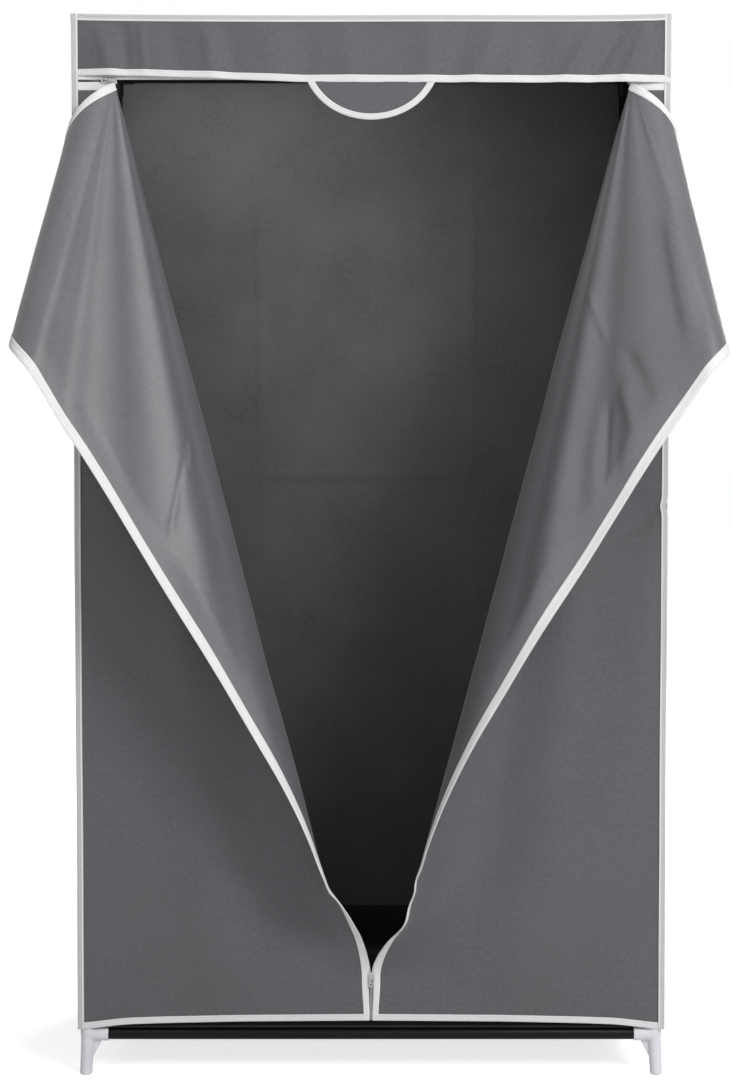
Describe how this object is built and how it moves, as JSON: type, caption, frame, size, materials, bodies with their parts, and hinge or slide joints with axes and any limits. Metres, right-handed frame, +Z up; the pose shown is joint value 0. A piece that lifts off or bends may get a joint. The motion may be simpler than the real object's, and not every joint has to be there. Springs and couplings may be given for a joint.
{
  "type": "portable fabric wardrobe",
  "caption": "Free-standing wardrobe: a tube frame in moulded joints under a grey non-woven cover whose zipped front folds open as two flaps.",
  "frame": {"origin": "on the floor, under the middle of the whole outline with the flaps folded open", "axes": "+Z up, the doorway faces -Y, +X to the right of someone facing the doorway"},
  "size_m": [1.0214, 0.6594, 1.6],
  "materials": {
    "black_tube": "smooth black lacquer on steel tube",
    "black_plastic": "satin moulded black plastic",
    "white_plastic": "satin moulded off-white plastic",
    "grey_fabric": "dull spun-bonded non-woven with a fine embossed dot pattern",
    "black_fabric": "dull black non-woven",
    "zip_tape": "white woven tape",
    "zinc": "dull plated zinc casting"
  },
  "bodies": {
    "frame": {"foot_joint_front_left": "white_plastic", "top_joint_front_left": "black_plastic", "post_lower_front_left": "black_tube", "post_upper_front_left": "black_tube", "post_coupler_front_left": "white_plastic", "top_tube_side_front_left": "black_tube", "foot_joint_rear_left": "white_plastic", "top_joint_rear_left": "black_plastic", "post_lower_rear_left": "black_tube", "post_upper_rear_left": "black_tube", "post_coupler_rear_left": "white_plastic", "top_tube_side_rear_left": "black_tube", "bottom_tube_left": "black_tube", "rail_tee_left": "black_plastic", "foot_joint_front_right": "white_plastic", "top_joint_front_right": "black_plastic", "post_lower_front_right": "black_tube", "post_upper_front_right": "black_tube", "post_coupler_front_right": "white_plastic", "top_tube_side_front_right": "black_tube", "foot_joint_rear_right": "white_plastic", "top_joint_rear_right": "black_plastic", "post_lower_rear_right": "black_tube", "post_upper_rear_right": "black_tube", "post_coupler_rear_right": "white_plastic", "top_tube_side_rear_right": "black_tube", "bottom_tube_right": "black_tube", "rail_tee_right": "black_plastic", "bottom_tube_front": "black_tube", "top_tube_front": "black_tube", "bottom_tube_rear": "black_tube", "top_tube_rear": "black_tube", "hanging_rail": "black_tube", "cover_roof": "grey_fabric", "cover_back": "grey_fabric", "cover_side_left": "grey_fabric", "cover_side_right": "grey_fabric", "cover_front_left": "grey_fabric", "cover_roll_left": "grey_fabric", "cover_front_right": "grey_fabric", "cover_roll_right": "grey_fabric", "header_flap": "grey_fabric", "header_band": "zip_tape", "floor_panel": "black_fabric", "zip_chain_closed": "zip_tape"},
    "flap_left": {"flap_left": "grey_fabric", "flap_corner_roll_left": "grey_fabric"},
    "corner_left": {"flap_corner_left": "grey_fabric"},
    "flap_right": {"flap_right": "grey_fabric", "flap_corner_roll_right": "grey_fabric"},
    "corner_right": {"flap_corner_right": "grey_fabric"},
    "slider_centre": {"zip_slider_centre": "zinc"},
    "pull_centre": {"zip_pull_centre": "zinc"},
    "slider_left": {"zip_slider_left": "zinc"},
    "pull_left": {"zip_pull_left": "zinc"},
    "slider_right": {"zip_slider_right": "zinc"},
    "pull_right": {"zip_pull_right": "zinc"},
    "tab": {"header_tab": "grey_fabric"}
  },
  "joints": [
    {"name": "flap_left_open", "type": "hinge", "parent": "frame", "child": "flap_left", "pos_m": [-0.38014, -0.11951, 1.5035], "axis": [-0.277, 0.0462, 0.9598], "range_deg": [0, 143.29], "deforming": ["cover_roll_left"]},
    {"name": "corner_left_turn", "type": "hinge", "parent": "flap_left", "child": "corner_left", "pos_m": [-0.45273, -0.20798, 1.32965], "axis": [0.1772, 0.399, 0.8997], "range_deg": [0, 118], "deforming": ["flap_corner_roll_left"]},
    {"name": "flap_right_open", "type": "hinge", "parent": "frame", "child": "flap_right", "pos_m": [0.39136, -0.11951, 1.502], "axis": [-0.2849, -0.0559, -0.9569], "range_deg": [0, 142.55], "deforming": ["cover_roll_right"]},
    {"name": "corner_right_turn", "type": "hinge", "parent": "flap_right", "child": "corner_right", "pos_m": [0.46149, -0.21041, 1.3277], "axis": [0.1481, -0.4111, -0.8995], "range_deg": [0, 126], "deforming": ["flap_corner_roll_right"]},
    {"name": "slider_centre_slide", "type": "slide", "parent": "frame", "child": "slider_centre", "axis": [0, 0, 1], "range_m": [-0.045, 1.335], "deforming": ["zip_chain_closed"]},
    {"name": "slider_left_slide", "type": "slide", "parent": "frame", "child": "slider_left", "axis": [1, 0, 0], "range_m": [0, 0.362]},
    {"name": "slider_right_slide", "type": "slide", "parent": "frame", "child": "slider_right", "axis": [-1, 0, 0], "range_m": [0, 0.365]},
    {"name": "pull_centre_swing", "type": "hinge", "parent": "slider_centre", "child": "pull_centre", "pos_m": [0.00386, -0.12361, 0.1535], "axis": [-1, 0, 0], "range_deg": [0, 165]},
    {"name": "pull_left_swing", "type": "hinge", "parent": "slider_left", "child": "pull_left", "pos_m": [-0.38164, -0.12361, 1.502], "axis": [0, 0, 1], "range_deg": [0, 165]},
    {"name": "pull_right_swing", "type": "hinge", "parent": "slider_right", "child": "pull_right", "pos_m": [0.39286, -0.12361, 1.502], "axis": [0, 0, -1], "range_deg": [0, 165]},
    {"name": "tab_lift", "type": "hinge", "parent": "frame", "child": "tab", "pos_m": [0.00386, -0.13056, 1.5067], "axis": [-1, 0, 0], "range_deg": [0, 110]}
  ]
}
